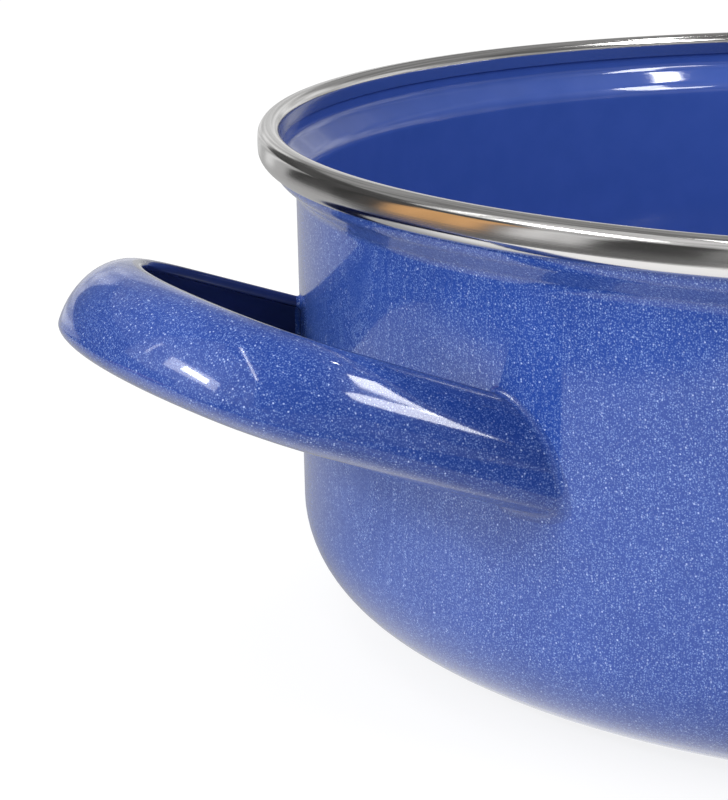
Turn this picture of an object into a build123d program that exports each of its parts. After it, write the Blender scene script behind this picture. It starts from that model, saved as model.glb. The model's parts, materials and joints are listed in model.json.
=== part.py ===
from build123d import *

import os
from math import asin, atan2, cos, degrees, hypot, pi, radians, sin, tan

# Covered casserole dish in enamelled steel, all lengths in millimetres, angles in degrees.
# The origin is the middle of the base, +Z is up and the two side handles lie along X.
# The lid is modelled on the pot, then turned over about its hinge line to lie open at -Y.

# Pot body
WALL_INNER_RADIUS = 120.0      # straight wall, just below the lid seat
WALL_THICKNESS = 1.3           # steel sheet with its enamel coats
WALL_TAPER = 0.8               # the wall draws in towards the base
POT_HEIGHT = 92.4              # to the top of the steel band
BASE_BEVEL_WIDTH = 15.1        # the base corner turns up in two blended steps
BASE_BEVEL_HEIGHT = 11.8
BASE_BEVEL_SPLIT = 0.53        # share of the bevel taken by the lower, wider bend
BASE_GROOVE_RADIUS = 74.0      # a shallow ring pressed up to stiffen the base
BASE_GROOVE_WIDTH = 9.0
BASE_GROOVE_SLOPE = 2.5
BASE_GROOVE_DEPTH = 0.9
BASE_GROOVE_BEND = 3.0

# Lid seat and stainless band round the mouth
SEAT_WIDTH = 4.6               # the sloping seat, from the wall out to the upright lip
SEAT_DROP = 11.4               # from the top of the pot to the foot of the seat
SEAT_RISE = 4.0                # height of the sloping seat
SEAT_BEND = 2.4                # inner bend radius at the top and the foot of the seat
BAND_WIDTH = 4.3               # across the top
BAND_HEIGHT = 6.5              # down the outside
BAND_INNER_HEIGHT = 4.4        # down the inside
BAND_SHEET = 0.4
BAND_CORNER = 2.1
BAND_CURL = 2.1                # how far the outer edge turns in under the rolled lip
BAND_CLEARANCE = 0.15

# Side handles, pressed channels bowed out from the wall in a rising plane
HANDLE_REACH = 62.1            # from the wall's reference point to the crest, along the plane
HANDLE_ROOT_INSET = 9.0        # from the wall's inner face in to the reference point
HANDLE_ROOT_HEIGHT = 50.8
HANDLE_RISE = 19.9
HANDLE_FRONT_RADIUS = 60.3
HANDLE_FRONT_HALF_ANGLE = 31.8
HANDLE_CORNER_RADIUS = 28.5
HANDLE_LEG_SPLAY = 10.5
HANDLE_SECTION_HEIGHT = 17.1
HANDLE_SECTION_DEPTH = 10.1
HANDLE_CREST_DROP = 4.8        # the crest runs below the middle of the section
HANDLE_SHEET = 1.9             # steel with its enamel coats
HANDLE_LEG_OVERRUN = 30.0      # spare length, trimmed off by the wall
HANDLE_WELD = 1.2              # size of the enamelled weld round each handle root

# Lid
LID_EDGE_CLEARANCE = 1.0       # round the lid, inside the band
LID_SEAT_CLEARANCE = 0.4
LID_SHEET = 1.2
LID_FLANGE_WIDTH = 9.0
LID_STEP_RUN = 5.0
LID_STEP_BEND = 2.6
LID_CROWN_HEIGHT = 25.0        # from the foot of the lid's band to the top of the dome
LID_DOME_CURVE = 400.0         # radius of the dome's underside
LID_DOME_LEAD = 4.0            # straight run between the step's bend and the dome
LID_BAND_HEIGHT = 3.8
LID_BAND_WIDTH = 4.4
LID_BAND_SHEET = 0.35
LID_BAND_CORNER = 1.5

# Lid handle, the same pressed channel as an arch
LID_HANDLE_SPAN = 82.0         # over the crest lines of its two feet
LID_HANDLE_RISE = 29.0         # above the dome
LID_HANDLE_CORNER_RADIUS = 20.0
LID_HANDLE_LEG_SPLAY = 10.0
LID_HANDLE_SECTION_WIDTH = 17.6
LID_HANDLE_SECTION_DEPTH = 7.5
LID_HANDLE_LEG_OVERRUN = 14.0
LID_HANDLE_WELD = 1.4

# Open lid, upside down on its handle and the far side of its edge
LID_OPEN_GAP = 8.0             # between the band and the raised edge of the open lid

SLIVER = 1e-3                  # keeps two bends that meet from running into each other

# Worked-out places
WALL_OUTER_RADIUS = WALL_INNER_RADIUS + WALL_THICKNESS
LIP_INNER_RADIUS = WALL_INNER_RADIUS + SEAT_WIDTH
LIP_OUTER_RADIUS = LIP_INNER_RADIUS + WALL_THICKNESS
SEAT_FOOT_HEIGHT = POT_HEIGHT - SEAT_DROP
SEAT_TOP_HEIGHT = SEAT_FOOT_HEIGHT + SEAT_RISE
BAND_INNER_RADIUS = LIP_INNER_RADIUS - BAND_CLEARANCE - BAND_SHEET
BAND_OUTER_RADIUS = BAND_INNER_RADIUS + BAND_WIDTH
BAND_BOTTOM = POT_HEIGHT - BAND_HEIGHT
BAND_INNER_BOTTOM = POT_HEIGHT - BAND_INNER_HEIGHT
SEAT_ANGLE = degrees(atan2(SEAT_RISE, SEAT_WIDTH))
HANDLE_ROOT_RADIUS = WALL_INNER_RADIUS - HANDLE_ROOT_INSET
LID_EDGE_RADIUS = BAND_INNER_RADIUS - LID_EDGE_CLEARANCE


def turned(section):
    """Solid of revolution about Z from a face drawn as (radius, height)."""
    return revolve(Plane.XZ * section, Axis.Z, 360)


def box_section(inner, outer, bottom, top, corner=0.0):
    """Rectangle between two radii and two heights, with its corners rounded."""
    section = Pos((inner + outer) / 2, (bottom + top) / 2) * Rectangle(outer - inner, top - bottom)
    if corner > 0:
        section = fillet(section.vertices(), corner)
    return section


# ---------------------------------------------------------------- pot body

def wall_radius(height, radius=WALL_OUTER_RADIUS):
    """Radius of the tapered wall at a height."""
    return radius - (SEAT_FOOT_HEIGHT - height) * tan(radians(WALL_TAPER))


def base_bends():
    """Radii of the lower and the upper bend of the base corner, outside the sheet."""
    bevel = hypot(BASE_BEVEL_WIDTH, BASE_BEVEL_HEIGHT)
    bevel_angle = degrees(atan2(BASE_BEVEL_HEIGHT, BASE_BEVEL_WIDTH))
    lower_turn = radians(bevel_angle)
    upper_turn = radians(90 - WALL_TAPER - bevel_angle)
    lower = bevel * BASE_BEVEL_SPLIT * (1 - SLIVER) / tan(lower_turn / 2)
    upper = bevel * (1 - BASE_BEVEL_SPLIT) * (1 - SLIVER) / tan(upper_turn / 2)
    return lower, upper


def pot_outline():
    """Outer line of the pot's sheet, from the middle of the base up to the lip."""
    bevel_top = wall_radius(BASE_BEVEL_HEIGHT)
    bevel_foot = wall_radius(0) - BASE_BEVEL_WIDTH
    lower_bend, upper_bend = base_bends()
    seat_shift = WALL_THICKNESS * tan(radians(SEAT_ANGLE / 2))
    groove_inner = BASE_GROOVE_RADIUS - BASE_GROOVE_WIDTH / 2
    groove_outer = BASE_GROOVE_RADIUS + BASE_GROOVE_WIDTH / 2
    points = [
        (0, 0),
        (groove_inner, 0),
        (groove_inner + BASE_GROOVE_SLOPE, BASE_GROOVE_DEPTH),
        (groove_outer - BASE_GROOVE_SLOPE, BASE_GROOVE_DEPTH),
        (groove_outer, 0),
        (bevel_foot, 0),
        (bevel_top, BASE_BEVEL_HEIGHT),
        (WALL_OUTER_RADIUS, SEAT_FOOT_HEIGHT - seat_shift),
        (LIP_OUTER_RADIUS, SEAT_TOP_HEIGHT - seat_shift),
        (LIP_OUTER_RADIUS, POT_HEIGHT - BAND_WIDTH / 2),
    ]
    groove_bends = [BASE_GROOVE_BEND] * 4
    bends = [*groove_bends, lower_bend, upper_bend, SEAT_BEND, SEAT_BEND + WALL_THICKNESS]
    return FilletPolyline(*points, radius=bends)


def rolled_lip_section():
    """Steel edge rolled outward at the mouth, which the band wraps."""
    gap = BAND_SHEET + BAND_CLEARANCE
    return box_section(
        LIP_INNER_RADIUS,
        BAND_OUTER_RADIUS - gap,
        BAND_BOTTOM + gap,
        POT_HEIGHT - gap,
        BAND_CORNER - gap,
    )


def make_pot_shell():
    """The deep-drawn body: base, wall, lid seat and rolled lip in one sheet."""
    outline = pot_outline()
    sheet = make_face(outline.offset_2d(WALL_THICKNESS, side=Side.LEFT))
    return turned(sheet + rolled_lip_section())


def make_pot_blank(growth=0.0):
    """Filled body of the pot as far as the band, which trims what is welded to the wall."""
    outline = pot_outline()
    start = outline.position_at(0)
    end = outline.position_at(1)
    closing = Polyline((end.X, end.Y), (0, end.Y), (0, start.Y))
    blank = make_face(Wire([*outline.edges(), *closing.edges()]))
    if growth > 0:
        blank += make_face(outline.offset_2d(growth, side=Side.RIGHT))
    return turned(blank)


def make_rim_band():
    """Stainless band pressed round the rolled lip."""
    gap = BAND_SHEET
    outside = box_section(BAND_INNER_RADIUS, BAND_OUTER_RADIUS, BAND_BOTTOM, POT_HEIGHT, BAND_CORNER)
    inside = box_section(
        BAND_INNER_RADIUS + gap,
        BAND_OUTER_RADIUS - gap,
        BAND_BOTTOM + gap,
        POT_HEIGHT - gap,
        BAND_CORNER - gap,
    )
    opening_edge = BAND_OUTER_RADIUS - BAND_CURL
    opening = box_section(BAND_INNER_RADIUS - BAND_WIDTH, opening_edge, 0, BAND_INNER_BOTTOM)
    return turned(outside - inside - opening)


# ---------------------------------------------------------------- handles

def bowed_face(depth, upper, lower):
    """Two quarter ellipses that share a crest at +X, the upper one towards -Y."""
    above = Ellipse(depth, upper) & Pos(depth / 2, -upper / 2) * Rectangle(depth, upper)
    below = Ellipse(depth, lower) & Pos(depth / 2, lower / 2) * Rectangle(depth, lower)
    return above + below


def channel_section(width, depth, sheet, drop=0.0):
    """Pressed channel, its open back towards -X and its crest below the middle by a drop."""
    upper, lower = width / 2 + drop, width / 2 - drop
    pressed = bowed_face(depth, upper, lower) - bowed_face(depth - sheet, upper - sheet, lower - sheet)
    lips = Pos(0, sheet / 2 - upper) * Circle(sheet / 2) + Pos(0, lower - sheet / 2) * Circle(sheet / 2)
    return Pos(-depth, drop) * (pressed + lips)


def solid_section(width, depth, growth, drop=0.0):
    """The channel's outline, filled and grown, which makes the weld round it."""
    upper, lower = width / 2 + drop, width / 2 - drop
    lip = HANDLE_SHEET / 2 + growth
    grown = bowed_face(depth + growth, upper + growth, lower + growth)
    back = Pos(-lip / 2, (lower - upper) / 2) * Rectangle(lip, width + 2 * growth)
    return Pos(-depth, drop) * (grown + back)


def arc_points(center, radius, start, end):
    """Start, middle and end of an arc about a centre, by angle."""
    angles = (start, (start + end) / 2, end)
    return [(center[0] + radius * cos(radians(a)), center[1] + radius * sin(radians(a))) for a in angles]


def handle_run():
    """Line of a side handle in its own plane: leg, corner, front, corner, leg."""
    front_center = (HANDLE_REACH - HANDLE_FRONT_RADIUS, 0)
    corner_offset = HANDLE_FRONT_RADIUS - HANDLE_CORNER_RADIUS
    front_angle = HANDLE_FRONT_HALF_ANGLE
    corner_x = front_center[0] + corner_offset * cos(radians(front_angle))
    corner_y = corner_offset * sin(radians(front_angle))
    leg_angle = 90 - HANDLE_LEG_SPLAY
    corner = arc_points((corner_x, corner_y), HANDLE_CORNER_RADIUS, front_angle, leg_angle)
    leg_start = corner[2]
    leg_length = (leg_start[0] + HANDLE_LEG_OVERRUN) / cos(radians(HANDLE_LEG_SPLAY))
    leg_end = (
        leg_start[0] - leg_length * cos(radians(HANDLE_LEG_SPLAY)),
        leg_start[1] + leg_length * sin(radians(HANDLE_LEG_SPLAY)),
    )
    lower_corner = [(x, -y) for x, y in reversed(corner)]
    front = arc_points(front_center, HANDLE_FRONT_RADIUS, -front_angle, front_angle)
    return [
        Line((leg_end[0], -leg_end[1]), lower_corner[0]),
        ThreePointArc(*lower_corner),
        ThreePointArc(*front),
        ThreePointArc(*corner),
        Line(leg_start, leg_end),
    ]


def swept_channel(run_plane, run, section):
    """Section carried along a run drawn in a plane, its +X outwards from the bow."""
    path = Wire([run_plane * edge for edge in run])
    forward = path.tangent_at(0)
    outward = forward.cross(run_plane.z_dir)
    start = Plane(origin=path.position_at(0), x_dir=outward, z_dir=forward)
    return sweep(start * section, path=path)


def handle_plane():
    """Rising plane of the right handle."""
    rise = radians(HANDLE_RISE)
    return Plane(
        origin=(HANDLE_ROOT_RADIUS, 0, HANDLE_ROOT_HEIGHT),
        x_dir=(cos(rise), 0, sin(rise)),
        z_dir=(-sin(rise), 0, cos(rise)),
    )


def make_right_handle(pot_blank):
    """Pressed channel handle, coped to the wall."""
    section = channel_section(HANDLE_SECTION_HEIGHT, HANDLE_SECTION_DEPTH, HANDLE_SHEET, HANDLE_CREST_DROP)
    bow = swept_channel(handle_plane(), handle_run(), section)
    return outermost(bow - pot_blank)


def make_right_welds(pot_blank, weld_zone, handle):
    """Enamelled welds that fill the two roots of a handle."""
    section = solid_section(HANDLE_SECTION_HEIGHT, HANDLE_SECTION_DEPTH, HANDLE_WELD, HANDLE_CREST_DROP)
    bow = swept_channel(handle_plane(), handle_run(), section)
    collar = (bow & weld_zone) - pot_blank
    return collar - handle


def outermost(shape):
    """The solid of a cut shape that reaches furthest from the pot's axis."""
    return max(shape.solids(), key=lambda solid: solid.bounding_box().max.X)


# ---------------------------------------------------------------- lid, drawn above its own foot plane

def lid_foot_height():
    """Height of the lid's foot when its rounded edge sits on the sloping seat."""
    corner_radius = LID_EDGE_RADIUS - LID_BAND_CORNER
    slope = radians(SEAT_ANGLE)
    reach = LID_BAND_CORNER + LID_SEAT_CLEARANCE + sin(slope) * (corner_radius - WALL_INNER_RADIUS)
    return SEAT_FOOT_HEIGHT + reach / cos(slope) - LID_BAND_CORNER


def lid_underside():
    """Lower line of the lid's sheet, from its rolled edge to the middle of the dome."""
    flange_height = (LID_BAND_HEIGHT - LID_SHEET) / 2
    flange_outer = LID_EDGE_RADIUS - LID_BAND_WIDTH / 2
    flange_inner = LID_EDGE_RADIUS - LID_BAND_WIDTH - LID_FLANGE_WIDTH
    step_top = flange_inner - LID_STEP_RUN
    dome_radius = step_top - LID_DOME_LEAD
    dome_slope = asin(dome_radius / LID_DOME_CURVE)
    crown = LID_CROWN_HEIGHT - LID_SHEET
    dome_edge = crown - LID_DOME_CURVE * (1 - cos(dome_slope))
    halfway = dome_slope / 2
    middle = (LID_DOME_CURVE * sin(halfway), crown - LID_DOME_CURVE * (1 - cos(halfway)))
    rim = FilletPolyline(
        (flange_outer, flange_height),
        (flange_inner, flange_height),
        (step_top, dome_edge - LID_DOME_LEAD * tan(dome_slope)),
        (dome_radius, dome_edge),
        radius=[LID_STEP_BEND + LID_SHEET, LID_STEP_BEND],
    )
    dome = ThreePointArc((dome_radius, dome_edge), middle, (0, crown))
    return Wire([*rim.edges(), dome])


def lid_hem_section():
    """Steel edge of the lid rolled flat, which its band wraps."""
    gap = LID_BAND_SHEET + BAND_CLEARANCE
    return box_section(
        LID_EDGE_RADIUS - LID_BAND_WIDTH + gap,
        LID_EDGE_RADIUS - gap,
        gap,
        LID_BAND_HEIGHT - gap,
        LID_BAND_CORNER - gap,
    )


def make_lid_shell():
    """Domed lid pressing with a stepped flange and a rolled edge."""
    sheet = make_face(lid_underside().offset_2d(LID_SHEET, side=Side.RIGHT))
    return turned(sheet + lid_hem_section())


def make_lid_band():
    """Stainless band pressed round the lid's edge, open towards the middle."""
    inner = LID_EDGE_RADIUS - LID_BAND_WIDTH
    sheet = LID_BAND_SHEET
    outside = box_section(inner, LID_EDGE_RADIUS, 0, LID_BAND_HEIGHT, LID_BAND_CORNER)
    inside = box_section(
        inner + sheet,
        LID_EDGE_RADIUS - sheet,
        sheet,
        LID_BAND_HEIGHT - sheet,
        LID_BAND_CORNER - sheet,
    )
    opening = box_section(inner - LID_BAND_WIDTH, inner + LID_BAND_CORNER, 0, LID_BAND_HEIGHT)
    return turned(outside - inside - opening)


def make_lid_blank(growth=0.0):
    """Filled dome, which trims what is welded to the lid."""
    underside = lid_underside()
    outer = underside.offset_2d(LID_SHEET + growth, side=Side.RIGHT)
    foot = underside.position_at(0)
    crown = underside.position_at(1)
    closing = Polyline((crown.X, crown.Y), (0, foot.Y), (foot.X, foot.Y))
    filled = make_face(Wire([*underside.edges(), *closing.edges()]))
    return turned(make_face(outer) + filled)


def lid_handle_top():
    """Height of the lid handle's crest above the lid's foot."""
    return LID_CROWN_HEIGHT + LID_HANDLE_RISE


def lid_handle_run():
    """Crest line of the lid handle: foot, corner, top, corner, foot."""
    top = lid_handle_top()
    foot = LID_CROWN_HEIGHT - LID_HANDLE_LEG_OVERRUN
    spread = tan(radians(LID_HANDLE_LEG_SPLAY))
    top_half = LID_HANDLE_SPAN / 2 - LID_HANDLE_RISE * spread
    foot_half = LID_HANDLE_SPAN / 2 + LID_HANDLE_LEG_OVERRUN * spread
    points = [(foot_half, foot), (top_half, top), (-top_half, top), (-foot_half, foot)]
    return FilletPolyline(*points, radius=LID_HANDLE_CORNER_RADIUS).edges()


def make_lid_handle(lid_blank):
    """Pressed channel arch on top of the lid."""
    section = channel_section(LID_HANDLE_SECTION_WIDTH, LID_HANDLE_SECTION_DEPTH, HANDLE_SHEET)
    arch = swept_channel(Plane.XZ, lid_handle_run(), section)
    return max((arch - lid_blank).solids(), key=lambda solid: solid.volume)


def make_lid_handle_welds(lid_blank, weld_zone, handle):
    """Enamelled welds that fill the two feet of the lid handle."""
    section = solid_section(LID_HANDLE_SECTION_WIDTH, LID_HANDLE_SECTION_DEPTH, LID_HANDLE_WELD)
    arch = swept_channel(Plane.XZ, lid_handle_run(), section)
    collar = (arch & weld_zone) - lid_blank
    return collar - handle


# ---------------------------------------------------------------- open lid

def edge_support(tilt):
    """Distance from the lid's centre to a table that its rounded edge touches."""
    corner = LID_BAND_CORNER
    return (LID_EDGE_RADIUS - corner) * sin(tilt) + (LID_BAND_HEIGHT - corner) * cos(tilt) + corner


def handle_support(tilt):
    """Distance from the lid's centre to a table that the handle's crest touches."""
    depth = LID_HANDLE_SECTION_DEPTH
    crest = hypot(LID_HANDLE_SECTION_WIDTH / 2 * sin(tilt), depth * cos(tilt))
    return (lid_handle_top() - depth) * cos(tilt) + crest


def open_tilt():
    """Tilt of the upturned lid when its handle and its edge both touch the table."""
    low, high = 0.0, pi / 2
    for _ in range(60):
        middle = (low + high) / 2
        if edge_support(middle) < handle_support(middle):
            low = middle
        else:
            high = middle
    return low


def lid_hinge():
    """Hinge line (y, z) and the angle that turns the seated lid over to where it lies open."""
    tilt = open_tilt()
    turn = pi + tilt
    corner = LID_BAND_CORNER
    near_reach = (LID_EDGE_RADIUS - corner) * cos(tilt) + (LID_BAND_HEIGHT - corner) * sin(tilt) + corner
    open_y = -(BAND_OUTER_RADIUS + LID_OPEN_GAP + near_reach)
    shift_y = open_y + sin(turn) * lid_foot_height()
    shift_z = edge_support(tilt) - cos(turn) * lid_foot_height()
    half_cot = 1 / tan(turn / 2)
    return (shift_y - half_cot * shift_z) / 2, (half_cot * shift_y + shift_z) / 2, degrees(turn)


def opened(shape):
    """Lid piece, drawn above its foot plane, moved to the open lid's place."""
    y, z, turn = lid_hinge()
    return (Pos(0, 0, lid_foot_height()) * shape).rotate(Axis((0, y, z), (1, 0, 0)), turn)


def make_parts():
    """Every separate piece of the dish by name, with the lid lying open."""
    pot_blank = make_pot_blank()
    weld_zone = make_pot_blank(HANDLE_WELD)
    right_handle = make_right_handle(pot_blank)
    right_welds = make_right_welds(pot_blank, weld_zone, right_handle)
    lid_blank = make_lid_blank()
    lid_handle = make_lid_handle(lid_blank)
    lid_welds = make_lid_handle_welds(lid_blank, make_lid_blank(LID_HANDLE_WELD), lid_handle)
    half_turn = Rot(0, 0, 180)
    return {
        "pot_shell": make_pot_shell(),
        "pot_rim_band": make_rim_band(),
        "right_handle": right_handle,
        "left_handle": half_turn * right_handle,
        "right_handle_welds": right_welds,
        "left_handle_welds": half_turn * right_welds,
        "lid_shell": opened(make_lid_shell()),
        "lid_rim_band": opened(make_lid_band()),
        "lid_handle": opened(lid_handle),
        "lid_handle_welds": opened(lid_welds),
    }


def main():
    os.makedirs("parts", exist_ok=True)
    for name, shape in make_parts().items():
        export_step(shape, f"parts/{name}.step")
    y, z, turn = lid_hinge()
    print(f"lid hinge at y {y:.3f}, z {z:.3f}, turning {turn:.3f} degrees")
    print(f"lid foot when seated at z {lid_foot_height():.3f}")


main()
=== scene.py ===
import json
import math

import bmesh
import bpy
from mathutils import Matrix, Vector


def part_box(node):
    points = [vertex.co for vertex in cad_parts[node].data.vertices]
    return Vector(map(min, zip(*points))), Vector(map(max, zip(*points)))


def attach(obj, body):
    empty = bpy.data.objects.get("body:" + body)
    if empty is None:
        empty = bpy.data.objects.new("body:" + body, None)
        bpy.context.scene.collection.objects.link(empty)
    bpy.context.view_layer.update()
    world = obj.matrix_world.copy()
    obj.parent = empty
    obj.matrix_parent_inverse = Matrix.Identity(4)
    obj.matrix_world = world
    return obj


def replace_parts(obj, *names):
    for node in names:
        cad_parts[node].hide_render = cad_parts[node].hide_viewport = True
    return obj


# A low enamelled steel casserole: pot, stainless rim band, two channel handles and a loose lid.
# Outlines are drawn in millimetres and meshes are scaled to metres when they are made.
# The pot stands on z = 0 with its axis on Z and its handles along X. The lid is drawn seated
# on the pot and then turned back about the hinge line to where it lies open.

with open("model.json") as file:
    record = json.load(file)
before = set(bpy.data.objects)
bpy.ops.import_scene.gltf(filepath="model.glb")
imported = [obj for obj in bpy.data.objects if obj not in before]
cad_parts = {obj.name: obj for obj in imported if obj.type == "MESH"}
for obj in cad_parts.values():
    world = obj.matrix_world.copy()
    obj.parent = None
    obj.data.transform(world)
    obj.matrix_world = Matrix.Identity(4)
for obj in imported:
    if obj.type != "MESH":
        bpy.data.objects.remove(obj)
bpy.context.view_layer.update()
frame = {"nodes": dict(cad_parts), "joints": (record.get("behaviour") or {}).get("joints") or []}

MM = 0.001


def box_mm(node):
    """Lowest and highest corner of a CAD node, in millimetres."""
    low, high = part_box(node)
    return Vector(low) / MM, Vector(high) / MM


# Pot body
POT_HEIGHT = box_mm("pot_rim_band")[1].z
BAND_OUTER_RADIUS = box_mm("pot_rim_band")[1].x
BAND_BOTTOM = box_mm("pot_rim_band")[0].z
WALL_THICKNESS = 1.3
WALL_OUTER_RADIUS = 121.3    # at the foot of the lid seat
WALL_TAPER = math.radians(0.8)
BASE_BEVEL_WIDTH = 15.1
BASE_BEVEL_HEIGHT = 11.8
BASE_BEVEL_SPLIT = 0.53      # share of the bevel taken by the lower bend
BASE_BEVEL_SHARE = 0.998     # of the bevel taken by its bends, so that they don't meet
BASE_GROOVE_RADIUS = 74.0
BASE_GROOVE_WIDTH = 9.0
BASE_GROOVE_SLOPE = 2.5
BASE_GROOVE_DEPTH = 0.9
BASE_GROOVE_BEND = 3.0
LIP_INNER_RADIUS = 124.6
LIP_OUTER_RADIUS = LIP_INNER_RADIUS + WALL_THICKNESS
SEAT_DROP = 11.4             # from the top of the pot to the foot of the seat
SEAT_RISE = 4.0
SEAT_FOOT_HEIGHT = POT_HEIGHT - SEAT_DROP
SEAT_TOP_HEIGHT = SEAT_FOOT_HEIGHT + SEAT_RISE
SEAT_BEND = 2.4

# Stainless band of the pot, and the rolled lip inside it
BAND_SHEET = 0.4
BAND_WIDTH = 4.3
BAND_INNER_HEIGHT = 4.4
BAND_INNER_RADIUS = BAND_OUTER_RADIUS - BAND_WIDTH
BAND_INNER_BOTTOM = POT_HEIGHT - BAND_INNER_HEIGHT
BAND_CORNER = 2.1
BAND_BEND = BAND_CORNER * 0.98   # a little less, so that neighbouring bends don't meet
BAND_CURL = 2.1
BAND_CROWN = 0.15            # how far the band's outer face draws in above and below its middle
BAND_CROWN_BEND = 22.0
BAND_CLEARANCE = 0.15
ROLL_GAP = BAND_SHEET + BAND_CLEARANCE
ROLL_FOOT_BEND = 0.3

# Side handles, angles of the bow in degrees
HANDLE_REACH = 62.1          # from the root point to the crest, along the rising plane
HANDLE_ROOT = Vector((111.0, 0.0, 50.8))
HANDLE_RISE = math.radians(19.9)
HANDLE_FRONT_RADIUS = 60.3
HANDLE_FRONT_HALF_ANGLE = 31.8
HANDLE_CORNER_RADIUS = 28.5
HANDLE_LEG_SPLAY = 10.5
HANDLE_SECTION_HEIGHT = 17.1
HANDLE_SECTION_DEPTH = 10.1
HANDLE_CREST_DROP = 4.8      # the crest runs below the middle of the section
HANDLE_SHEET = 1.9
HANDLE_WELD = 1.2

# Lid
LID_EDGE_CLEARANCE = 1.0     # round the lid, inside the pot's band
LID_EDGE_RADIUS = LIP_INNER_RADIUS - BAND_CLEARANCE - BAND_SHEET - LID_EDGE_CLEARANCE
LID_SHEET = 1.2
LID_FLANGE_WIDTH = 9.0
LID_STEP_RUN = 5.0
LID_STEP_BEND = 2.6
LID_CROWN_HEIGHT = 25.0
LID_DOME_CURVE = 400.0
LID_DOME_LEAD = 4.0
LID_BAND_HEIGHT = 3.8
LID_BAND_WIDTH = 4.4
LID_BAND_SHEET = 0.35
LID_BAND_CORNER = 1.5
HEM_BEND = 0.5
HEM_ROOT_BEND = 0.2

# Lid handle
LID_HANDLE_SPAN = 82.0
LID_HANDLE_RISE = 29.0
LID_HANDLE_CORNER_RADIUS = 20.0
LID_HANDLE_LEG_SPLAY = 10.0
LID_HANDLE_SECTION_WIDTH = 17.6
LID_HANDLE_SECTION_DEPTH = 7.5
LID_HANDLE_WELD = 1.4

# Mesh fineness
ARC_STEP = math.radians(5.0)
BOW_FINENESS = 1.5           # how many times finer the bow of a handle is
SHARP_ANGLE = math.radians(35.0)
ROUND_SEGMENTS = 288
SUPPORT = 0.6                # from the end of a straight to the extra point that keeps it flat
LEAST_STRAIGHT = SUPPORT / 10    # shorter ones are left out
AXIS_RADIUS = SUPPORT / 100      # points nearer the axis than this share one vertex
UNWRAPPED_LENGTH = 100.0     # of an outline, to one unit of the unwrapped surface
SECTION_STEPS = 32
LIP_STEPS = 8
DOME_STEPS = 24
LEG_ROWS = (0.04, 0.25, 0.5, 0.75, 0.96, 1.0)    # where a leg has rows, as shares of its length
RAIL_REACH = 90.0            # longer than any leg
HALVINGS = 40                # when a leg's end is looked for
WELD_STEPS = 5
WELD_SINK = 0.3              # how far legs and welds run on into the sheet
SPECKLE_END = math.radians(81.0)     # from the crest of a handle's section to its plain edge

# ---------------------------------------------------------------- camera

CAMERA_BEARING = math.radians(37.0)      # from -Y towards -X, seen from the pot's axis
CAMERA_DISTANCE = 0.5105
CAMERA_HEIGHT = 0.1702
CAMERA_TURN = 0.2150                     # to the left of the pot's axis, in radians
CAMERA_PITCH = 0.2588                    # below the horizon, in radians
CAMERA_ROLL = -0.0087
CAMERA_LENS = 121.19


def add_camera():
    place = Vector((-math.sin(CAMERA_BEARING), -math.cos(CAMERA_BEARING), 0)) * CAMERA_DISTANCE
    place.z = CAMERA_HEIGHT
    heading = -CAMERA_BEARING + CAMERA_TURN
    turn = Matrix.Rotation(heading, 4, "Z")
    tip = Matrix.Rotation(math.pi / 2 - CAMERA_PITCH, 4, "X")
    roll = Matrix.Rotation(CAMERA_ROLL, 4, "Z")
    data = bpy.data.cameras.new("camera")
    data.lens = CAMERA_LENS
    data.clip_start = 0.01
    data.clip_end = 100.0
    camera = bpy.data.objects.new("camera", data)
    camera.matrix_world = Matrix.Translation(place) @ turn @ tip @ roll
    bpy.context.collection.objects.link(camera)
    bpy.context.scene.camera = camera


add_camera()

# ---------------------------------------------------------------- outlines


def left_of(direction):
    """A direction turned a quarter turn to the left."""
    return Vector((-direction.y, direction.x))


def turn_between(incoming, outgoing):
    """Angle from one direction to the next, positive to the left."""
    return math.atan2(incoming.cross(outgoing), incoming.dot(outgoing))


def rounded_line(corners, bends):
    """Points of a line whose corners are rounded, with extra points near the ends of straights."""
    corners = [Vector(corner) for corner in corners]
    stretches = [[corners[0]]]
    for before, corner, after, bend in zip(corners, corners[1:], corners[2:], bends):
        incoming = (corner - before).normalized()
        outgoing = (after - corner).normalized()
        turn = turn_between(incoming, outgoing)
        start = corner - incoming * bend * math.tan(abs(turn) / 2)
        centre = start + left_of(incoming) * math.copysign(bend, turn)
        steps = max(3, math.ceil(abs(turn) / ARC_STEP))
        arc = []
        for step in range(steps + 1):
            spoke = start - centre
            spoke.rotate(Matrix.Rotation(turn * step / steps, 2))
            arc.append(centre + spoke)
        stretches.append(arc)
    stretches.append([corners[-1]])
    points = list(stretches[0])
    for stretch in stretches[1:]:
        straight = stretch[0] - points[-1]
        if straight.length > 3 * SUPPORT:
            inset = straight.normalized() * SUPPORT
            points += [points[-1] + inset, stretch[0] - inset]
        points += stretch if straight.length > LEAST_STRAIGHT else stretch[1:]
    return points


def shifted(corners, distance):
    """The corners of a line moved in parallel to its left."""
    corners = [Vector(corner) for corner in corners]
    normals = [left_of((end - start).normalized()) for start, end in zip(corners, corners[1:])]
    moved = [corners[0] + normals[0] * distance]
    for corner, first, second in zip(corners[1:], normals, normals[1:]):
        moved.append(corner + (first + second) * distance / (1 + first.dot(second)))
    moved.append(corners[-1] + normals[-1] * distance)
    return moved


def shifted_bends(corners, bends, distance):
    """Bend radii of the moved line, smaller where it turns left."""
    corners = [Vector(corner) for corner in corners]
    moved = []
    for before, corner, after, bend in zip(corners, corners[1:], corners[2:], bends):
        turn = turn_between(corner - before, after - corner)
        moved.append(bend - math.copysign(distance, turn))
    return moved


# ---------------------------------------------------------------- meshes


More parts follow.
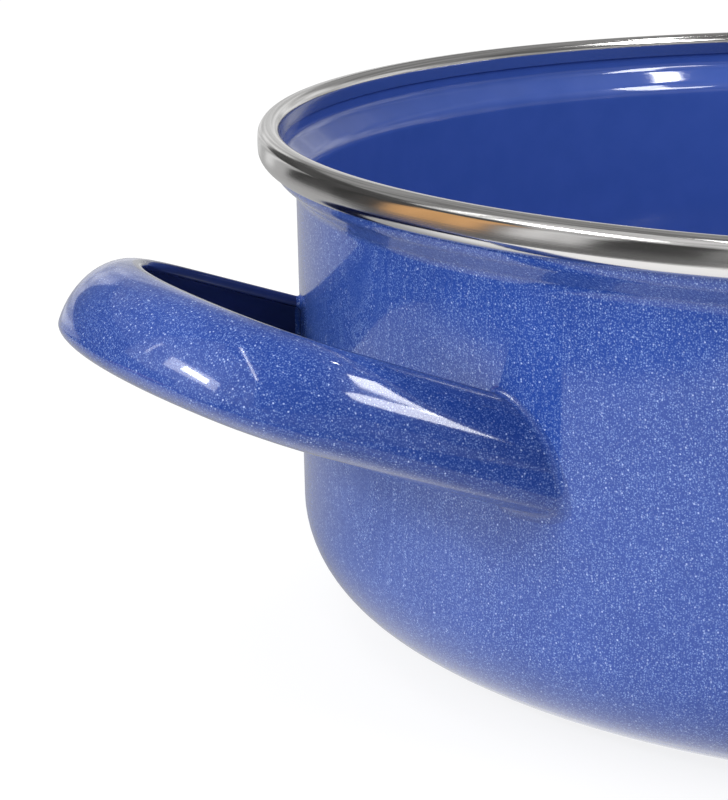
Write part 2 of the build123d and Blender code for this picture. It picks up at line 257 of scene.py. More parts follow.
def add_mesh(name, points, faces, materials, indices, unwrapped=None):
    """Smooth-shaded object from points in millimetres."""
    mesh = bpy.data.meshes.new(name)
    mesh.from_pydata([tuple(Vector(point) * MM) for point in points], [], faces)
    for material in materials:
        mesh.materials.append(material)
    mesh.polygons.foreach_set("material_index", indices)
    mesh.polygons.foreach_set("use_smooth", [True] * len(faces))
    if unwrapped:
        layer = mesh.uv_layers.new(name="unwrapped")
        for loop, place in zip(layer.data, unwrapped):
            loop.uv = place
    shape = bmesh.new()
    shape.from_mesh(mesh)
    bmesh.ops.recalc_face_normals(shape, faces=shape.faces)
    shape.to_mesh(mesh)
    shape.free()
    mesh.set_sharp_from_angle(angle=SHARP_ANGLE)
    made = bpy.data.objects.new(name, mesh)
    bpy.context.collection.objects.link(made)
    return made


def lathe(name, lines, materials, closed=False):
    """Solid of revolution from outlines of (radius, height), one for each material in turn."""
    outline, row_material = [], []
    for index, line in enumerate(lines):
        fresh = line if not outline else line[1:]
        outline += fresh
        row_material += [index] * len(fresh)
    row_material = row_material[1:] + [row_material[-1]]
    rings, points, lengths = [], [], [0.0]
    for start, end in zip(outline, outline[1:] + outline[:1]):
        lengths.append(lengths[-1] + (end - start).length)
    for place in outline:
        if place.x < AXIS_RADIUS:
            rings.append([len(points)] * ROUND_SEGMENTS)
            points.append((0, 0, place.y))
            continue
        rings.append(list(range(len(points), len(points) + ROUND_SEGMENTS)))
        for segment in range(ROUND_SEGMENTS):
            angle = 2 * math.pi * segment / ROUND_SEGMENTS
            points.append((place.x * math.cos(angle), place.x * math.sin(angle), place.y))
    faces, indices, unwrapped = [], [], []
    pairs = len(rings) if closed else len(rings) - 1
    for row in range(pairs):
        lower, upper = rings[row], rings[(row + 1) % len(rings)]
        for segment in range(ROUND_SEGMENTS):
            following = (segment + 1) % ROUND_SEGMENTS
            corners = [
                (lower[segment], segment, lengths[row]),
                (lower[following], segment + 1, lengths[row]),
                (upper[following], segment + 1, lengths[row + 1]),
                (upper[segment], segment, lengths[row + 1]),
            ]
            kept = [corner for number, corner in enumerate(corners)
                    if corner[0] != corners[number - 1][0]]
            faces.append([vertex for vertex, _, _ in kept])
            indices.append(row_material[row])
            unwrapped += [(turned / ROUND_SEGMENTS, length / UNWRAPPED_LENGTH)
                          for _, turned, length in kept]
    return add_mesh(name, points, faces, materials, indices, unwrapped)


def tube(name, rows, materials, column_material):
    """Skin over rows of points, each row a closed loop with a material for each of its columns."""
    count = len(rows[0])
    points = [point for row in rows for point in row]
    faces, indices = [], []
    for row in range(len(rows) - 1):
        for step in range(count):
            after = (step + 1) % count
            faces.append((row * count + step, row * count + after,
                          (row + 1) * count + after, (row + 1) * count + step))
            same = column_material[step] == column_material[after]
            indices.append(column_material[step] if same else 0)
    return add_mesh(name, points, faces, materials, indices)


def channel_loop(width, depth, sheet, drop=0.0, growth=0.0):
    """Closed line round a pressed channel, each point with whether it is speckled."""
    half = width / 2
    lip = sheet / 2

    def bowed(angle, inset):
        """Point on one of two quarter ellipses that share the crest."""
        height = half - inset + math.copysign(drop, -angle)
        return Vector(((depth - inset) * math.cos(angle) - depth, drop + height * math.sin(angle)))

    loop = []
    for step in range(SECTION_STEPS + 1):
        angle = math.pi * (step / SECTION_STEPS - 0.5)
        loop.append((bowed(angle, -growth), abs(angle) < SPECKLE_END))
    for side in (1, -1):
        for step in range(1, LIP_STEPS):
            share = step / LIP_STEPS
            angle = math.pi * (share if side == 1 else 1 - share)
            offset = Vector((-math.sin(angle), side * math.cos(angle))) * (lip + growth)
            loop.append((Vector((-depth, side * (half - lip))) + offset, False))
        if side == 1:
            for step in range(SECTION_STEPS + 1):
                angle = math.pi * (0.5 - step / SECTION_STEPS)
                loop.append((bowed(angle, sheet + growth), False))
    return loop


def arc_stations(centre, radius, start, end):
    """Places on an arc of a run, each with the angle of its outward direction."""
    steps = max(2, math.ceil(abs(end - start) / math.degrees(ARC_STEP) * BOW_FINENESS))
    angles = [math.radians(start + (end - start) * step / steps) for step in range(steps + 1)]
    return [(centre + Vector((math.cos(angle), math.sin(angle))) * radius, angle)
            for angle in angles]


def side_handle_stations():
    """The bowed part of a side handle, from the end of one leg to the end of the other."""
    front = Vector((HANDLE_REACH - HANDLE_FRONT_RADIUS, 0))
    split = HANDLE_FRONT_HALF_ANGLE
    leg = 90 - HANDLE_LEG_SPLAY
    offset = HANDLE_FRONT_RADIUS - HANDLE_CORNER_RADIUS
    across = front.x + offset * math.cos(math.radians(split))
    along = offset * math.sin(math.radians(split))
    stations = arc_stations(Vector((across, -along)), HANDLE_CORNER_RADIUS, -leg, -split)
    stations += arc_stations(front, HANDLE_FRONT_RADIUS, -split, split)[1:]
    stations += arc_stations(Vector((across, along)), HANDLE_CORNER_RADIUS, split, leg)[1:]
    return stations


def lid_handle_stations():
    """The arch of the lid handle between its two legs."""
    splay = LID_HANDLE_LEG_SPLAY
    bend = LID_HANDLE_CORNER_RADIUS
    top_half = LID_HANDLE_SPAN / 2 - LID_HANDLE_RISE * math.tan(math.radians(splay))
    centre = top_half - bend * math.tan(math.radians(90 - splay) / 2)
    height = LID_CROWN_HEIGHT + LID_HANDLE_RISE - bend
    stations = arc_stations(Vector((centre, height)), bend, splay, 90)
    inset = Vector((SUPPORT, 0))
    first, last = stations[-1][0] - inset, Vector((SUPPORT - centre, height + bend))
    stations += [(first, math.pi / 2), (last, math.pi / 2)]
    return stations + arc_stations(Vector((-centre, height)), bend, 90, 180 - splay)


def outside_wall(place):
    """Distance from the outside of the pot's wall."""
    wall = WALL_OUTER_RADIUS - (SEAT_FOOT_HEIGHT - place.z) * math.tan(WALL_TAPER)
    return math.hypot(place.x, place.y) - wall


def above_dome(place):
    """Distance from the top of the lid's dome."""
    centre = Vector((0, 0, LID_CROWN_HEIGHT - LID_SHEET - LID_DOME_CURVE))
    return (place - centre).length - LID_DOME_CURVE - LID_SHEET


def reach_to(surface, start, direction):
    """How far a rail runs before it meets a surface."""
    near, far = 0.0, RAIL_REACH
    for _ in range(HALVINGS):
        middle = (near + far) / 2
        if surface(start + direction * middle) > 0:
            near = middle
        else:
            far = middle
    return near


class Bow:
    """A channel carried round a bow in a plane, with straight legs down to a surface."""

    def __init__(self, origin, along, up, stations, section, surface):
        self.origin, self.along, self.up = origin, along, up
        self.stations, self.section, self.surface = stations, section, surface

    def row(self, station, growth=0.0):
        """The section's points at one station, and the direction of travel there."""
        place, angle = station
        outward = self.along * math.cos(angle) + self.up * math.sin(angle)
        forward = self.up * math.cos(angle) - self.along * math.sin(angle)
        side = forward.cross(outward)
        crest = self.origin + self.along * place.x + self.up * place.y
        loop = channel_loop(*self.section, growth)
        return [crest + outward * point.x + side * point.y for point, _ in loop], forward

    def legs(self, growth=0.0):
        """For each leg, its rails as (start, direction, length)."""
        for station, sense in ((self.stations[0], -1), (self.stations[-1], 1)):
            starts, forward = self.row(station, growth)
            direction = forward * sense
            yield [(start, direction, reach_to(self.surface, start, direction)) for start in starts]

    def leg_rows(self, rails):
        """Rows down one leg, the last of them sunk into the surface."""
        return [[start + direction * (length * share + WELD_SINK * (share == 1))
                 for start, direction, length in rails] for share in LEG_ROWS]

    def mesh(self, name, materials):
        """The pressed channel, its speckled outside and plain inside in two materials."""
        first, last = self.legs()
        rows = self.leg_rows(first)[::-1]
        rows += [self.row(station)[0] for station in self.stations]
        rows += self.leg_rows(last)
        columns = [0 if speckled else 1 for _, speckled in channel_loop(*self.section)]
        return tube(name, rows, materials, columns)

    def welds(self, name, width, materials):
        """Smooth beads where the two legs meet the surface."""
        points, faces = [], []
        for rails, grown in zip(self.legs(), self.legs(width)):
            rows = []
            for (start, direction, length), (wide, _, wide_length) in zip(rails, grown):
                high = start + direction * (length - width)
                corner = start + direction * length
                low = wide + direction * wide_length
                bead = []
                for step in range(WELD_STEPS + 1):
                    share = step / WELD_STEPS
                    bead.append(high.lerp(corner, share).lerp(corner.lerp(low, share), share))
                rows.append(bead + [corner + direction * WELD_SINK])
            count = len(rows[0])
            base = len(points)
            points += [point for row in rows for point in row]
            for row in range(len(rows)):
                here, there = base + row * count, base + (row + 1) % len(rows) * count
                for step in range(count):
                    after = (step + 1) % count
                    faces.append((here + step, here + after, there + after, there + step))
        return add_mesh(name, points, faces, materials, [0] * len(faces))


# ---------------------------------------------------------------- shader nodes

# Sockets that are reached by number
MIX_FACTOR, MIX_FIRST, MIX_SECOND, MIX_RESULT = 0, 6, 7, 2
GENERATED, OBJECT = 0, 3
VALUE = 1


class Flow:
    """An output of a shader node. Sums with it add nodes to the same tree."""

    def __init__(self, shader, socket):
        self.shader, self.socket = shader, socket

    def math(self, operation, *others):
        return self.shader.node("Math", {"operation": operation}, dict(enumerate((self, *others))))

    def __add__(self, other):
        return self.math("ADD", other)

    def __radd__(self, other):
        return self.math("ADD", other)

    def __sub__(self, other):
        return self.math("SUBTRACT", other)

    def __rsub__(self, other):
        return self.shader.node("Math", {"operation": "SUBTRACT"}, {0: other, 1: self})

    def __mul__(self, other):
        return self.math("MULTIPLY", other)

    def __rmul__(self, other):
        return self.math("MULTIPLY", other)

    def __pow__(self, other):
        return self.math("POWER", other)

    def between(self, low, high):
        """0 below one value, 1 above the other, smooth in between."""
        settings = {"interpolation_type": "SMOOTHSTEP", "clamp": True}
        ends = {"Value": self, "From Min": low, "From Max": high}
        return self.shader.node("MapRange", settings, ends)

    def colour(self, dark, light):
        """A colour that goes from one to the other as this goes from 0 to 1."""
        ends = {MIX_FACTOR: self, MIX_FIRST: dark, MIX_SECOND: light}
        return self.shader.node("Mix", {"data_type": "RGBA"}, ends, MIX_RESULT)


class Shader:
    """The node tree of a material or of the world."""

    def __init__(self, owner):
        owner.use_nodes = True
        self.tree = owner.node_tree
        self.tree.nodes.clear()

    def node(self, kind, settings=None, inputs=None, output=0):
        """The chosen output of a new node, with its settings made first and then its inputs."""
        made = self.tree.nodes.new("ShaderNode" + kind)
        for name, value in (settings or {}).items():
            setattr(made, name, value)
        for name, value in (inputs or {}).items():
            if isinstance(value, Flow):
                self.tree.links.new(value.socket, made.inputs[name])
            else:
                made.inputs[name].default_value = value
        return Flow(self, made.outputs[output])

    def finish(self, kind, surface):
        """Joins a surface to the tree's output."""
        end = self.tree.nodes.new("ShaderNodeOutput" + kind)
        self.tree.links.new(surface.socket, end.inputs["Surface"])


def rgb(red, green, blue):
    return (red, green, blue, 1.0)


def material(name, build):
    """A material whose surface comes from a function of its shader."""
    made = bpy.data.materials.new(name)
    shader = Shader(made)
    shader.finish("Material", build(shader))
    return made


def specks(place, size, low, high, rarity):
    """Soft round specks, one to a cell, each with a brightness of its own."""
    spread = {"Vector": place, "Scale": 1 / size, "Randomness": 1.0}
    cells = place.shader.node("TexVoronoi", {"feature": "F1"}, spread)
    tint = Flow(place.shader, cells.socket.node.outputs["Color"])
    own = place.shader.node("SeparateColor", None, {"Color": tint})
    return (1 - cells.between(low, high)) * own ** rarity


FINE_SPECK, COARSE_SPECK = 0.00025, 0.00048      # sizes in metres
FINE_TINT, COARSE_TINT = rgb(0.21, 0.33, 0.68), rgb(0.42, 0.53, 0.85)
GLAZE_WAVE = 0.0006          # how deep the waves in the glaze are, in metres


def speckled_enamel(shader, cover=1.0, dark=(0.009, 0.047, 0.290), light=(0.014, 0.057, 0.320)):
    """Glossy blue enamel with fine pale specks under the glaze, as dense as cover says."""
    place = shader.node("TexCoord", None, None, OBJECT)
    patchy = shader.node("TexNoise", None, {"Vector": place, "Scale": 170.0, "Detail": 3.0})
    fine = specks(place, FINE_SPECK, low=0.15, high=0.75, rarity=1.8)
    fine = fine * ((0.6 + 0.8 * patchy) * cover)
    coarse = specks(place, COARSE_SPECK, low=0.12, high=0.46, rarity=8.0)
    ground = shader.node("TexNoise", None, {"Vector": place, "Scale": 60.0, "Detail": 3.0})
    base = ground.between(0.3, 0.7).colour(rgb(*dark), rgb(*light))
    colour = coarse.colour(fine.colour(base, FINE_TINT), COARSE_TINT)
    wave = shader.node("TexNoise", None, {"Vector": place, "Scale": 55.0, "Detail": 2.0})
    relief = shader.node("Bump", None, {"Strength": 0.12, "Distance": GLAZE_WAVE, "Height": wave})
    return shader.node("BsdfPrincipled", None, {
        "Base Color": colour, "Roughness": 0.4, "IOR": 1.5, "Specular IOR Level": 0.15,
        "Coat Weight": 1.0, "Coat Roughness": 0.07, "Coat IOR": 1.48,
        "Normal": relief,
    })


def plain_enamel(shader, dark=(0.032, 0.078, 0.335), light=(0.038, 0.086, 0.360)):
    """Glossy deep blue enamel without specks."""
    place = shader.node("TexCoord", None, None, OBJECT)
    ground = shader.node("TexNoise", None, {"Vector": place, "Scale": 160.0, "Detail": 4.0})
    base = ground.between(0.25, 0.75).colour(rgb(*dark), rgb(*light))
    wave = shader.node("TexNoise", None, {"Vector": place, "Scale": 40.0, "Detail": 2.0})
    relief = shader.node("Bump", None, {"Strength": 0.1, "Distance": GLAZE_WAVE, "Height": wave})
    return shader.node("BsdfPrincipled", None, {
        "Base Color": base, "Roughness": 0.4, "IOR": 1.5, "Specular IOR Level": 0.15,
        "Coat Weight": 1.0, "Coat Roughness": 0.06, "Coat IOR": 1.5,
        "Normal": relief,
    })


def polished_steel(shader):
    """Stainless steel with faint lines that run round the band."""
    place = shader.node("UVMap", {"uv_map": "unwrapped"})
    across = shader.node("Mapping", None, {"Vector": place, "Scale": (3.0, 900.0, 1.0)})
    lines = shader.node("TexNoise", None, {"Vector": across, "Scale": 1.0, "Detail": 4.0})
    spot = shader.node("TexCoord", None, None, OBJECT)
    smear = shader.node("TexNoise", None, {"Vector": spot, "Scale": 60.0, "Detail": 3.0})
    rough = 0.07 + 0.07 * lines + 0.05 * smear
    relief = shader.node("Bump", None, {"Strength": 0.05, "Distance": 0.0001, "Height": lines})
    return shader.node("BsdfPrincipled", None, {
        "Base Color": rgb(0.68, 0.67, 0.66), "Metallic": 1.0, "Roughness": rough,
        "Normal": relief,
    })


SPECKLED = material("speckled enamel", speckled_enamel)
# The handles' enamel: the pot's speckled enamel with fewer specks and a darker base, painted shade
# that keeps the handles darker than the wall.
SHADED_SPARSE = material("sparsely speckled enamel with painted shade", lambda shader: speckled_enamel(
    shader, 0.70, (0.0075, 0.039, 0.245), (0.012, 0.048, 0.272)))
PLAIN = material("plain enamel", plain_enamel)
# The inside of the handles' channels: the plain enamel made much darker, painted shade for the
# hollow's own shadow.
PLAIN_WITH_PAINTED_SHADE = material("plain enamel with painted shade", lambda shader: plain_enamel(
    shader, (0.012, 0.022, 0.100), (0.016, 0.028, 0.122)))
STEEL = material("polished steel", polished_steel)

# ---------------------------------------------------------------- pot


def pot_corners():
    """Corners and bends of the sheet's outer line, from the middle of the base up to the lip."""
    tangent = math.tan(WALL_TAPER)
    foot = WALL_OUTER_RADIUS - SEAT_FOOT_HEIGHT * tangent - BASE_BEVEL_WIDTH
    shoulder = WALL_OUTER_RADIUS - (SEAT_FOOT_HEIGHT - BASE_BEVEL_HEIGHT) * tangent
    bevel = math.hypot(BASE_BEVEL_WIDTH, BASE_BEVEL_HEIGHT) * BASE_BEVEL_SHARE
    rise = math.atan2(BASE_BEVEL_HEIGHT, BASE_BEVEL_WIDTH)
    lower = bevel * BASE_BEVEL_SPLIT / math.tan(rise / 2)
    upper = bevel * (1 - BASE_BEVEL_SPLIT) / math.tan((math.pi / 2 - WALL_TAPER - rise) / 2)
    slope = math.atan2(SEAT_TOP_HEIGHT - SEAT_FOOT_HEIGHT, LIP_OUTER_RADIUS - WALL_OUTER_RADIUS)
    drop = WALL_THICKNESS * math.tan(slope / 2)
    inner = BASE_GROOVE_RADIUS - BASE_GROOVE_WIDTH / 2
    outer = BASE_GROOVE_RADIUS + BASE_GROOVE_WIDTH / 2
    corners = [
        (0, 0),
        (inner, 0),
        (inner + BASE_GROOVE_SLOPE, BASE_GROOVE_DEPTH),
        (outer - BASE_GROOVE_SLOPE, BASE_GROOVE_DEPTH),
        (outer, 0),
        (foot, 0),
        (shoulder, BASE_BEVEL_HEIGHT),
        (WALL_OUTER_RADIUS, SEAT_FOOT_HEIGHT - drop),
        (LIP_OUTER_RADIUS, SEAT_TOP_HEIGHT - drop),
        (LIP_OUTER_RADIUS, BAND_BOTTOM + ROLL_GAP),
    ]
    bends = [BASE_GROOVE_BEND] * 4 + [lower, upper, SEAT_BEND, SEAT_BEND + WALL_THICKNESS]
    return corners, bends


def pot_lines():
    """The speckled outside of the pot, and its plain inside from the roll down to the floor."""
    corners, bends = pot_corners()
    inside = shifted(corners, WALL_THICKNESS)
    inside_bends = shifted_bends(corners, bends, WALL_THICKNESS)
    roll = BAND_CORNER - ROLL_GAP
    edge, top = BAND_OUTER_RADIUS - ROLL_GAP, POT_HEIGHT - ROLL_GAP
    middle = (LIP_INNER_RADIUS + edge) / 2
    outer_line = corners + [(edge, BAND_BOTTOM + ROLL_GAP), (edge, top), (middle, top)]
    inner_line = [(middle, top), (LIP_INNER_RADIUS, top)] + inside[-2::-1]
    return (rounded_line(outer_line, bends + [ROLL_FOOT_BEND, roll, roll]),
            rounded_line(inner_line, [roll] + inside_bends[::-1]))


def band_line(corners, bends, sheet):
    """Closed line round a pressed band, from the line of its outer face."""
    inner = rounded_line(shifted(corners, -sheet), shifted_bends(corners, bends, -sheet))
    return rounded_line(corners, bends) + inner[::-1]


pot_body = lathe("pot_body", pot_lines(), [SPECKLED, PLAIN])
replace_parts(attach(pot_body, "pot"), "pot_shell")

rim_corners = [
    (BAND_INNER_RADIUS, BAND_INNER_BOTTOM),
    (BAND_INNER_RADIUS, POT_HEIGHT),
    (BAND_OUTER_RADIUS - BAND_CROWN, POT_HEIGHT),
    (BAND_OUTER_RADIUS, (POT_HEIGHT + BAND_BOTTOM) / 2),
    (BAND_OUTER_RADIUS - BAND_CROWN, BAND_BOTTOM),
    (BAND_OUTER_RADIUS - BAND_CROWN - BAND_CURL, BAND_BOTTOM),
]
rim_line = band_line(rim_corners, [BAND_BEND, BAND_BEND, BAND_CROWN_BEND, BAND_BEND], BAND_SHEET)
rim_band = lathe("rim_band", [rim_line], [STEEL], closed=True)
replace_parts(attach(rim_band, "pot"), "pot_rim_band")

# ---------------------------------------------------------------- side handles

for side, turn in (("right", 0.0), ("left", math.pi)):
    spin = Matrix.Rotation(turn, 3, "Z")
    rise = Vector((math.cos(HANDLE_RISE), 0, math.sin(HANDLE_RISE)))
    handle_bow = Bow(
        origin=spin @ HANDLE_ROOT,
        along=spin @ rise,
        up=spin @ Vector((0, 1, 0)),
        stations=side_handle_stations(),
        section=(HANDLE_SECTION_HEIGHT, HANDLE_SECTION_DEPTH, HANDLE_SHEET, HANDLE_CREST_DROP),
        surface=outside_wall,
    )
    # The handle's outside and welds take the speckled enamel darkened with painted shade, and its
    # inside the plain enamel darkened further with painted shade.
    handle = handle_bow.mesh(f"{side}_loop", [SHADED_SPARSE, PLAIN_WITH_PAINTED_SHADE])
    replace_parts(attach(handle, "pot"), f"{side}_handle")
    welds = handle_bow.welds(f"{side}_loop_welds", HANDLE_WELD, [SHADED_SPARSE])
    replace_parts(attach(welds, "pot"), f"{side}_handle_welds")

# ---------------------------------------------------------------- lid

joint = frame["joints"][0]
pivot = Matrix.Translation(Vector(joint["pos_m"]))
closing = Matrix.Rotation(math.radians(joint["range_deg"][1]), 4, Vector(joint["axis"]))
close_lid = pivot @ closing @ pivot.inverted()
seated_band = [close_lid @ vertex.co for vertex in frame["nodes"]["lid_rim_band"].data.vertices]
lid_foot = Matrix.Translation((0, 0, min(place.z for place in seated_band)))
open_lid = close_lid.inverted() @ lid_foot


def dome_points(radius, centre, slope):
    """A dome's line from its edge to its middle."""
    angles = [slope * (1 - step / DOME_STEPS) for step in range(1, DOME_STEPS + 1)]
    return [Vector((radius * math.sin(angle), centre + radius * math.cos(angle)))
            for angle in angles]


def lid_lines():
    """The lid's speckled top, from the middle out to the hem, and its plain underside."""
    flange_height = (LID_BAND_HEIGHT - LID_SHEET) / 2
    flange_inner = LID_EDGE_RADIUS - LID_BAND_WIDTH - LID_FLANGE_WIDTH
    step_top = flange_inner - LID_STEP_RUN
    dome_radius = step_top - LID_DOME_LEAD
    slope = math.asin(dome_radius / LID_DOME_CURVE)
    crown = LID_CROWN_HEIGHT - LID_SHEET
    dome_edge = crown - LID_DOME_CURVE * (1 - math.cos(slope))
    gap = LID_BAND_SHEET + BAND_CLEARANCE
    hem_inner, hem_outer = LID_EDGE_RADIUS - LID_BAND_WIDTH + gap, LID_EDGE_RADIUS - gap
    corners = [
        (hem_inner, flange_height),
        (flange_inner, flange_height),
        (step_top, dome_edge - LID_DOME_LEAD * math.tan(slope)),
        (dome_radius, dome_edge),
    ]
    bends = [LID_STEP_BEND + LID_SHEET, LID_STEP_BEND]
    top = shifted(corners, -LID_SHEET)
    hem_top, hem_corner = LID_BAND_HEIGHT - gap, LID_BAND_CORNER - gap
    middle = ((hem_inner + hem_outer) / 2, hem_top)
    over = [middle, (hem_inner, hem_top)] + top
    under = [middle, (hem_outer, hem_top), (hem_outer, gap), (hem_inner, gap)] + corners
    over_bends = [HEM_BEND, HEM_ROOT_BEND] + shifted_bends(corners, bends, -LID_SHEET)
    under_bends = [hem_corner, hem_corner, HEM_BEND, HEM_ROOT_BEND] + bends
    centre = crown - LID_DOME_CURVE
    upper = rounded_line(over, over_bends) + dome_points(LID_DOME_CURVE + LID_SHEET, centre, slope)
    lower = rounded_line(under, under_bends) + dome_points(LID_DOME_CURVE, centre, slope)
    return upper[::-1], lower


lid_hem_end = LID_EDGE_RADIUS - LID_BAND_WIDTH + LID_BAND_CORNER
lid_band_corners = [
    (lid_hem_end, LID_BAND_HEIGHT),
    (LID_EDGE_RADIUS, LID_BAND_HEIGHT),
    (LID_EDGE_RADIUS, 0),
    (lid_hem_end, 0),
]
lid_dome = lathe("lid_dome", lid_lines(), [SPECKLED, PLAIN])
lid_band_line = band_line(lid_band_corners, [LID_BAND_CORNER] * 2, LID_BAND_SHEET)
lid_band = lathe("lid_band", [lid_band_line], [STEEL], closed=True)
lid_bow = Bow(
    origin=Vector((0, 0, 0)),
    along=Vector((1, 0, 0)),
    up=Vector((0, 0, 1)),
    stations=lid_handle_stations(),
    section=(LID_HANDLE_SECTION_WIDTH, LID_HANDLE_SECTION_DEPTH, HANDLE_SHEET, 0.0),
    surface=above_dome,
)
# The lid handle takes the same two enamels darkened with painted shade.
lid_handle = lid_bow.mesh("lid_loop", [SHADED_SPARSE, PLAIN_WITH_PAINTED_SHADE])
lid_welds = lid_bow.welds("lid_loop_welds", LID_HANDLE_WELD, [SHADED_SPARSE])
for piece, finish, node in (
    (lid_dome, "speckled_enamel", "lid_shell"),
    (lid_band, "stainless_band", "lid_rim_band"),
    (lid_handle, "speckled_enamel", "lid_handle"),
    (lid_welds, "speckled_enamel", "lid_handle_welds"),
):
    piece.data.transform(open_lid)
    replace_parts(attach(piece, "lid"), node)

# ---------------------------------------------------------------- floor and light

FLOOR_ALBEDO = 0.6
FLOOR_RADIUS = 12.0
FLOOR_DROP = 0.0003          # how far the floor lies under the pot's base, in metres
FLOOR_GLOW = 1.20            # what the floor gives off to the camera by itself
FLOOR_GLOW_SHARE = 0.7
FLOOR_MIRROR_SHARE = 0.7     # how much of what a reflection finds in the white sheet is glow
ROOM_FILL = 0.95             # matt light from all round
FILL_TILT = 1.0              # how much more of it comes from one side
FILL_BEARING = math.radians(165.0)

# What reflections find. Each pair of levels is brightness in front of the pot and behind it.
BACK_BEARING = math.radians(60.0)    # which way is behind
ROOM_FADE = (-0.2, 0.5)      # where the room goes from one level to the other
# The sheet's two levels are painted light and shade: it glows brighter than white in front of the
# pot and dark behind it, seen only in reflections.
SHEET_LEVELS = (1.35, 0.35)  # of the white sheet under the pot
SHEET_FADE = (-0.10, 0.0)    # where it goes from one to the other, in metres behind the axis
SHEET_EDGE = (0.33, 0.36)    # where it ends towards -X, in metres
SHEET_RIPPLE = 0.06          # how far its edge wanders, in metres
BARE_LEVEL = 0.15            # of the table past the sheet
TABLE_END = (0.50, 0.55)     # in metres from the pot's axis
LOW_LEVELS = (0.30, 0.85)    # of the room below the walls
WALL_LEVELS = (0.60, 0.95)
CEILING_LEVELS = (0.13, 0.38)
WALL_FOOT = (0.03, 0.06)     # where the walls begin and end, as the sine of the elevation
WALL_TOP = (0.30, 0.36)
SIDE_SOFTNESS = 2            # of the edges of what stands in the room, in degrees
FOOT_SOFTNESS, TOP_SOFTNESS = 0.02, 0.03     # of its feet and tops, as the sine of the elevation
CLUTTER = (0.40, 0.62)       # where noise begins to darken the room, and where it does most
CLUTTER_DEPTH = 0.45

LIGHT_TARGET = Vector((-0.125, -0.04, 0.062))
LIGHT_DISTANCE = 1.2


def ray_kinds(shader):
    """Three flows, each 1 for camera rays, for reflections or for rays that pass through."""
    rays = shader.node("LightPath").socket.node.outputs
    kinds = ("Is Camera Ray", "Is Glossy Ray", "Is Transmission Ray")
    return [Flow(shader, rays[kind]) for kind in kinds]


def grey(level):
    return rgb(level, level, level)


# What stands in the room, later things before earlier ones: the bearings of its two sides in
# degrees, the sines of the elevations of its foot and top, and its colour
FURNITURE = (
    (112, 146, -1.0, 0.40, grey(0.07)),
    (88, 168, 0.04, 0.40, grey(0.09)),
    (144, 168, -1.0, 0.04, rgb(0.90, 0.50, 0.21)),
    (168, 186, -1.0, 0.04, grey(0.90)),
    (186, 215, -1.0, -0.10, grey(0.60)),
    (184, 203, -0.10, 0.17, grey(0.07)),
    (139, 220, 0.30, 0.88, grey(0.85)),
)


def backwards(east, north):
    """How far a place or a direction lies behind the pot."""
    return east * math.cos(BACK_BEARING) + north * math.sin(BACK_BEARING)


def room(shader, direction):
    """What stands round the pot, as reflections find it."""
    split = shader.node("SeparateXYZ", None, {0: direction}).socket.node.outputs
    east, north, height = [Flow(shader, split[name]) for name in "XYZ"]
    bearing = (north * -1.0).math("ARCTAN2", east * -1.0) * math.degrees(1) + 180.0
    behind = backwards(east, north).between(*ROOM_FADE)
    levels = (LOW_LEVELS, WALL_LEVELS, CEILING_LEVELS)
    low, walls, ceiling = [behind.colour(grey(front), grey(back)) for front, back in levels]
    around = height.between(*WALL_FOOT).colour(low, walls)
    around = height.between(*WALL_TOP).colour(around, ceiling)
    for start, end, foot, top, tint in FURNITURE:
        inside = bearing.between(start, start + SIDE_SOFTNESS)
        inside = inside * (1 - bearing.between(end - SIDE_SOFTNESS, end))
        inside = inside * height.between(foot - FOOT_SOFTNESS, foot)
        inside = inside * (1 - height.between(top, top + TOP_SOFTNESS))
        around = inside.colour(around, tint)
    clutter = shader.node("TexNoise", None, {"Vector": direction, "Scale": 7.0, "Detail": 3.0})
    return (1 - CLUTTER_DEPTH * clutter.between(*CLUTTER)).colour(grey(0.0), around)


def floor_surface(shader):
    """Matt white that keeps a soft shadow, and reads as white where nothing shades it. To
    reflections it glows with painted light and shade.
    """
    seen, mirrored, through = ray_kinds(shader)
    shown = seen.math("MAXIMUM", through)
    place = shader.node("TexCoord", None, None, OBJECT)
    split = shader.node("SeparateXYZ", None, {0: place}).socket.node.outputs
    east, north = Flow(shader, split["X"]), Flow(shader, split["Y"])
    ripple = shader.node("TexNoise", None, {"Vector": place, "Scale": 9.0, "Detail": 2.0})
    # To reflections the floor glows: the sheet with painted light in front of the pot and painted
    # shade behind it, then the bare table, then past the table's end the same room as the world.
    front, back = SHEET_LEVELS
    sheet = backwards(east, north).between(*SHEET_FADE).colour(grey(front), grey(back))
    past_sheet = (SHEET_RIPPLE * ripple - SHEET_RIPPLE / 2 - east).between(*SHEET_EDGE)
    table = past_sheet.colour(sheet, grey(BARE_LEVEL))
    heading = shader.node("VectorMath", {"operation": "NORMALIZE"}, {0: place})
    distance = shader.node("VectorMath", {"operation": "LENGTH"}, {0: place}, VALUE)
    far = distance.between(*TABLE_END)
    glowing = shown.colour(far.colour(table, room(shader, heading)), grey(FLOOR_GLOW))
    matt = shader.node("BsdfDiffuse", None, {"Color": grey(FLOOR_ALBEDO)})
    glow = shader.node("Emission", None, {"Color": glowing, "Strength": 1.0})
    beyond = past_sheet.math("MAXIMUM", far)
    mirror_share = FLOOR_MIRROR_SHARE + (1 - FLOOR_MIRROR_SHARE) * beyond
    share = shown * FLOOR_GLOW_SHARE + mirrored * mirror_share
    return shader.node("MixShader", None, {0: share, 1: matt, 2: glow})


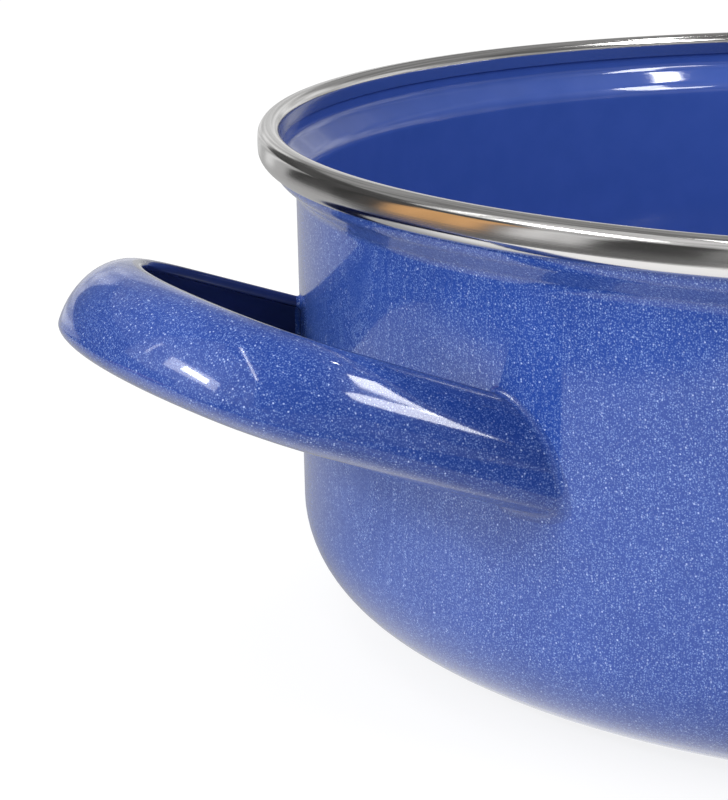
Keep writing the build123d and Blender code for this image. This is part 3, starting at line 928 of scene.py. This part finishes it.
def studio(shader):
    """White to the camera, soft light to matt surfaces, and a room to reflections."""
    seen, mirrored, through = ray_kinds(shader)
    direction = shader.node("TexCoord", None, None, GENERATED)
    side = (math.cos(FILL_BEARING) * FILL_TILT, math.sin(FILL_BEARING) * FILL_TILT, 0.0)
    ends = {0: direction, 1: side}
    tilt = shader.node("VectorMath", {"operation": "DOT_PRODUCT"}, ends, VALUE)
    lit = mirrored.colour(grey(ROOM_FILL), room(shader, direction))
    colour = seen.math("MAXIMUM", through).colour(lit, grey(1.0))
    strength = 1 + tilt * (1 - seen) * (1 - through) * (1 - mirrored)
    return shader.node("Background", None, {"Color": colour, "Strength": strength})


bpy.ops.mesh.primitive_circle_add(
    vertices=96, radius=FLOOR_RADIUS, fill_type="NGON", location=(0, 0, -FLOOR_DROP))
floor = bpy.context.object
floor.name = "floor"
floor.data.materials.append(material("white floor", floor_surface))

world = bpy.data.worlds.new("studio")
bpy.context.scene.world = world
sky = Shader(world)
sky.finish("World", studio(sky))


def away(bearing, height):
    """The unit vector at a bearing and an elevation, in degrees."""
    turn, level = math.radians(bearing), math.radians(height)
    out = Vector((math.cos(turn), math.sin(turn), 0)) * math.cos(level)
    return out + Vector((0, 0, math.sin(level)))


def soft_box(name, start, end, width, brightness):
    """A flat light from one (bearing, elevation) to another that faces the near handle."""
    first, last = away(*start) * LIGHT_DISTANCE, away(*end) * LIGHT_DISTANCE
    facing = (first + last).normalized()
    right = (last - first).normalized()
    data = bpy.data.lights.new(name, "AREA")
    data.shape = "RECTANGLE"
    data.size, data.size_y = (last - first).length, width
    data.energy = brightness * math.pi * data.size * width
    lamp = bpy.data.objects.new(name, data)
    turn = Matrix((right, facing.cross(right), facing)).transposed().to_4x4()
    lamp.matrix_world = Matrix.Translation(LIGHT_TARGET + (first + last) / 2) @ turn
    bpy.context.collection.objects.link(lamp)


soft_box("window upper pane", (-20, 54), (-50, 38), 0.14, 18.0)
soft_box("window lower pane", (-63, 38), (-49, 37), 0.19, 15.0)
soft_box("back soft box", (158, 29), (-171, 27), 0.19, 6.0)
soft_box("back lamp", (166, 30), (180, 28), 0.09, 30.0)
soft_box("long tube", (152, 72), (-142, 46), 0.030, 12.0)
soft_box("short tube", (148, 25), (147, 37), 0.018, 7.0)
soft_box("ceiling lamp", (6.5, 59.5), (11, 59.5), 0.045, 40.0)

bpy.context.scene.view_settings.view_transform = "Standard"
